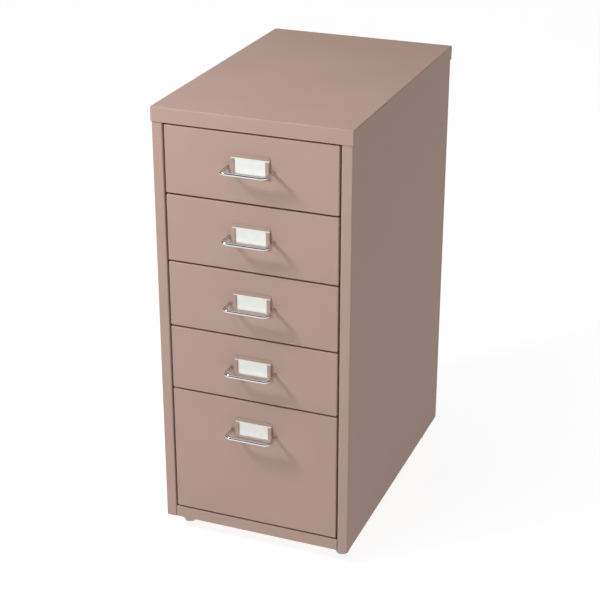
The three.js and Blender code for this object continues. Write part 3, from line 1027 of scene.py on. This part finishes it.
make_top_cap()
for hand, side in (("left", -1), ("right", 1)):
    make_side(hand, side)
make_rail()
make_back_panel()
make_bottom_panel()
make_feet()
make_back_screws()
nut = nut_mesh()
for number, drawer in enumerate(DRAWERS, 1):
    make_drawer_front(drawer)
    make_tray(drawer)
    make_pull(drawer)
    make_nuts(drawer, nut)
    make_label_holder(drawer)
    make_card(drawer)
    for hand, side in (("left", -1), ("right", 1)):
        make_runner(number, hand, side)

# ---- studio -------------------------------------------------------------------------------

CAMERA_PLACE = Vector((0.7381, -1.9117, 1.2303))
CAMERA_YAW = 21.378          # degrees, turned left from +Y
CAMERA_PITCH = 24.33         # degrees below the horizon
CAMERA_LENS = 92.42
CAMERA_SENSOR = 36.0

SURROUNDINGS = (             # (height, colour) from 0, straight down, to 1, straight up
    (0.47, (0.04, 0.035, 0.035)),
    (0.60, (0.035, 0.035, 0.04)),
    (0.80, (0.035, 0.035, 0.04)),
    (0.94, (0.85, 0.85, 0.85)),
)

KEY_LIGHT = {
    "place": Vector((-1.32, -1.21, 1.84)),
    "target": Vector((0.0, -0.20, 0.40)),
    "size": 0.58,
    "power": 35.0,
    "colour": (1.0, 0.99, 0.97),
}
SOFTBOX = {
    "place": Vector((-0.35, -0.95, 1.75)),
    "target": Vector((0.0, -0.10, 0.60)),
    "size": 0.7,
    "power": 6.8,
    "colour": (1.0, 1.0, 1.0),
    "mirrored": False,
}


def add_camera():
    """Level across the picture, without lens shift or depth of field."""
    data = bpy.data.cameras.new("camera")
    data.lens = CAMERA_LENS
    data.sensor_width = CAMERA_SENSOR
    data.clip_start = 0.05
    data.clip_end = 100.0
    camera = bpy.data.objects.new("camera", data)
    camera.location = CAMERA_PLACE
    camera.rotation_euler = (RIGHT_ANGLE - math.radians(CAMERA_PITCH), 0, math.radians(CAMERA_YAW))
    bpy.context.scene.collection.objects.link(camera)
    bpy.context.scene.camera = camera


def add_area_light(name, place, target, size, power, colour, mirrored=True):
    """A round soft light. An unmirrored one lights surfaces but leaves no streak on the chrome."""
    data = bpy.data.lights.new(name, "AREA")
    data.shape = "DISK"
    data.size = size
    data.energy = power
    data.color = colour
    light = bpy.data.objects.new(name, data)
    light.location = place
    light.rotation_euler = (target - place).to_track_quat("-Z", "Y").to_euler()
    light.visible_glossy = mirrored
    bpy.context.scene.collection.objects.link(light)


def add_world():
    """Studio surroundings: a large bright ceiling above walls in shade."""
    world = bpy.data.worlds.new("studio")
    world.use_nodes = True
    nodes, links = world.node_tree.nodes, world.node_tree.links
    direction = nodes.new("ShaderNodeTexCoord").outputs["Generated"]
    split = nodes.new("ShaderNodeSeparateXYZ")
    links.new(direction, split.inputs["Vector"])
    height = spread(nodes, links, split.outputs["Z"], 0.0, 1.0, -1.0, 1.0)
    ramp = nodes.new("ShaderNodeValToRGB")
    ramp.color_ramp.interpolation = "EASE"
    elements = ramp.color_ramp.elements
    lowest, *between, highest = SURROUNDINGS
    for element, (position, colour) in ((elements[0], lowest), (elements[1], highest)):
        element.position, element.color = position, (*colour, 1.0)
    for position, colour in between:
        elements.new(position).color = (*colour, 1.0)
    links.new(height, ramp.inputs["Fac"])
    links.new(ramp.outputs["Color"], nodes["Background"].inputs["Color"])
    nodes["Background"].inputs["Strength"].default_value = 1.0
    bpy.context.scene.world = world


FLOOR_GLOW = 0.85
FLOOR_HALF = 20000
BACKDROP_RADIUS = 15000
BACKDROP_BOTTOM = -10
BACKDROP_TOP = 8000
BACKDROP_GLOW = 0.97


def add_floor():
    """Pale paper that the cabinet stands on."""
    half = FLOOR_HALF
    corners = [(-half, -half, 0), (half, -half, 0), (half, half, 0), (-half, half, 0)]
    mesh = make_mesh("floor", corners, [(0, 1, 2, 3)])
    mesh.materials.append(studio_paper("studio_floor", FLOOR_GLOW))
    floor = bpy.data.objects.new("floor", mesh)
    bpy.context.scene.collection.objects.link(floor)


def add_backdrop():
    """Pale paper round the studio, seen in low views. It neither lights nor shades the cabinet."""
    around = circle(0, 0, BACKDROP_RADIUS, 96)
    loops = [[(x, y, z) for x, y in around] for z in (BACKDROP_BOTTOM, BACKDROP_TOP)]
    mesh = loft("backdrop", loops, close_first=False, close_last=False)
    mesh.materials.append(studio_paper("studio_backdrop", BACKDROP_GLOW))
    backdrop = bpy.data.objects.new("backdrop", mesh)
    backdrop.visible_diffuse = False
    backdrop.visible_glossy = False
    backdrop.visible_shadow = False
    bpy.context.scene.collection.objects.link(backdrop)


add_camera()
add_world()
add_floor()
add_backdrop()
add_area_light("key", **KEY_LIGHT)
add_area_light("softbox", **SOFTBOX)
bpy.context.scene.view_settings.view_transform = "Standard"
